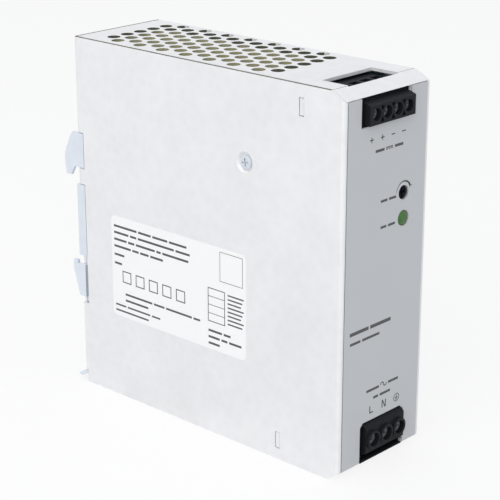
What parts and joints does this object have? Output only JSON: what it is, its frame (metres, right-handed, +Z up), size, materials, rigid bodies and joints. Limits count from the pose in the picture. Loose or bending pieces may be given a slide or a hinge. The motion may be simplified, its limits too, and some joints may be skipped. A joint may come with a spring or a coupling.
{
  "type": "din rail power supply",
  "caption": "Slim folded-steel power supply for a top-hat rail, with screw-clamp terminals, output trimmer, status lamp, rail hook and spring latch.",
  "frame": {"origin": "rail seat: middle of the case width on the case's rear face, at the rail's centre line", "axes": "+Z up along the case height, -Y out of the front plate, +X to the right seen from the front"},
  "size_m": [0.0402, 0.1251, 0.1236],
  "materials": {
    "case_steel": "galvanised, satin",
    "bracket_steel": "zinc plated",
    "screw_steel": "zinc plated",
    "spring_steel": "wire, plain",
    "copper_tin": "tinned",
    "black_plastic": "moulded",
    "blue_plastic": "moulded",
    "white_plastic": "moulded",
    "green_lens": "tinted lens",
    "film_grey": "printed film",
    "label_white": "satin film",
    "board_green": "solder mask",
    "sheet_clear": "polyester sheet",
    "ferrite": "sintered",
    "tape_yellow": "polyester tape",
    "enamel_copper": "enamelled wire",
    "can_sleeve": "shrink sleeve",
    "aluminium": "plain",
    "film_yellow": "moulded case",
    "fuse_glass": "ceramic tube",
    "thermistor_green": "coated disc"
  },
  "bodies": {
    "case": {"side_cover": "case_steel", "chassis": "case_steel", "front_overlay": "film_grey", "rating_label": "label_white", "side_screw": "screw_steel", "rail_bracket": "bracket_steel", "latch_spring": "spring_steel", "bracket_rivets": "screw_steel", "output_terminal_block": "black_plastic", "output_contacts": "copper_tin", "input_terminal_block": "black_plastic", "input_contacts": "copper_tin", "trimmer_body": "blue_plastic", "status_led": "green_lens", "indicator_board": "board_green", "output_board": "board_green", "input_board": "board_green", "main_board": "board_green", "board_standoffs": "screw_steel", "board_screws": "screw_steel", "insulation_sheet": "sheet_clear", "transformer_core": "ferrite", "transformer_bobbin": "black_plastic", "transformer_winding": "tape_yellow", "bulk_capacitor": "can_sleeve", "output_capacitors": "can_sleeve", "choke_core": "ferrite", "choke_winding": "enamel_copper", "film_capacitor": "film_yellow", "fuse": "fuse_glass", "inrush_thermistor": "thermistor_green", "bridge_rectifier": "black_plastic", "primary_heat_sink": "aluminium", "primary_transistor": "black_plastic", "secondary_heat_sink": "aluminium", "output_rectifier": "black_plastic", "output_inductor_core": "ferrite", "output_inductor_winding": "enamel_copper"},
    "latch": {"rail_latch": "bracket_steel"},
    "rotor": {"trimmer_rotor": "white_plastic"},
    "output_screw_1": {"output_screw_1": "screw_steel"},
    "output_cage_1": {"output_cage_1": "screw_steel"},
    "output_screw_2": {"output_screw_2": "screw_steel"},
    "output_cage_2": {"output_cage_2": "screw_steel"},
    "output_screw_3": {"output_screw_3": "screw_steel"},
    "output_cage_3": {"output_cage_3": "screw_steel"},
    "output_screw_4": {"output_screw_4": "screw_steel"},
    "output_cage_4": {"output_cage_4": "screw_steel"},
    "input_screw_1": {"input_screw_1": "screw_steel"},
    "input_cage_1": {"input_cage_1": "screw_steel"},
    "input_screw_2": {"input_screw_2": "screw_steel"},
    "input_cage_2": {"input_cage_2": "screw_steel"},
    "input_screw_3": {"input_screw_3": "screw_steel"},
    "input_cage_3": {"input_cage_3": "screw_steel"}
  },
  "joints": [
    {"name": "latch_slide", "type": "slide", "parent": "case", "child": "latch", "axis": [0, 0, 1], "range_m": [-0.002, 0], "stiffness_N_per_m": 2500, "springref_m": 0.001, "deforming": ["latch_spring"]},
    {"name": "trimmer_turn", "type": "hinge", "parent": "case", "child": "rotor", "pos_m": [0.0085, -0.1148, 0.0266], "axis": [0, 1, 0], "range_deg": [-130, 130]},
    {"name": "output_screw_1_turn", "type": "hinge", "parent": "case", "child": "output_screw_1", "pos_m": [-0.00752, -0.1138, 0.0542], "axis": [0, 1, 0], "range_deg": [0, 1800]},
    {"name": "output_cage_1_rise", "type": "slide", "parent": "case", "child": "output_cage_1", "axis": [0, -1, 0], "range_m": [0, 0.00225]},
    {"name": "output_screw_2_turn", "type": "hinge", "parent": "case", "child": "output_screw_2", "pos_m": [-0.00244, -0.1138, 0.0542], "axis": [0, 1, 0], "range_deg": [0, 1800]},
    {"name": "output_cage_2_rise", "type": "slide", "parent": "case", "child": "output_cage_2", "axis": [0, -1, 0], "range_m": [0, 0.00225]},
    {"name": "output_screw_3_turn", "type": "hinge", "parent": "case", "child": "output_screw_3", "pos_m": [0.00264, -0.1138, 0.0542], "axis": [0, 1, 0], "range_deg": [0, 1800]},
    {"name": "output_cage_3_rise", "type": "slide", "parent": "case", "child": "output_cage_3", "axis": [0, -1, 0], "range_m": [0, 0.00225]},
    {"name": "output_screw_4_turn", "type": "hinge", "parent": "case", "child": "output_screw_4", "pos_m": [0.00772, -0.1138, 0.0542], "axis": [0, 1, 0], "range_deg": [0, 1800]},
    {"name": "output_cage_4_rise", "type": "slide", "parent": "case", "child": "output_cage_4", "axis": [0, -1, 0], "range_m": [0, 0.00225]},
    {"name": "input_screw_1_turn", "type": "hinge", "parent": "case", "child": "input_screw_1", "pos_m": [-0.00455, -0.1138, -0.0511], "axis": [0, 1, 0], "range_deg": [0, 1800]},
    {"name": "input_cage_1_rise", "type": "slide", "parent": "case", "child": "input_cage_1", "axis": [0, -1, 0], "range_m": [0, 0.003]},
    {"name": "input_screw_2_turn", "type": "hinge", "parent": "case", "child": "input_screw_2", "pos_m": [0.0018, -0.1138, -0.0511], "axis": [0, 1, 0], "range_deg": [0, 1800]},
    {"name": "input_cage_2_rise", "type": "slide", "parent": "case", "child": "input_cage_2", "axis": [0, -1, 0], "range_m": [0, 0.003]},
    {"name": "input_screw_3_turn", "type": "hinge", "parent": "case", "child": "input_screw_3", "pos_m": [0.00815, -0.1138, -0.0511], "axis": [0, 1, 0], "range_deg": [0, 1800]},
    {"name": "input_cage_3_rise", "type": "slide", "parent": "case", "child": "input_cage_3", "axis": [0, -1, 0], "range_m": [0, 0.003]}
  ],
  "couplings": [
    {"joint": "output_screw_1_turn", "follows": "output_cage_1_rise", "rad_per_m": 13963},
    {"joint": "output_screw_2_turn", "follows": "output_cage_2_rise", "rad_per_m": 13963},
    {"joint": "output_screw_3_turn", "follows": "output_cage_3_rise", "rad_per_m": 13963},
    {"joint": "output_screw_4_turn", "follows": "output_cage_4_rise", "rad_per_m": 13963},
    {"joint": "input_screw_1_turn", "follows": "input_cage_1_rise", "rad_per_m": 10472},
    {"joint": "input_screw_2_turn", "follows": "input_cage_2_rise", "rad_per_m": 10472},
    {"joint": "input_screw_3_turn", "follows": "input_cage_3_rise", "rad_per_m": 10472}
  ]
}
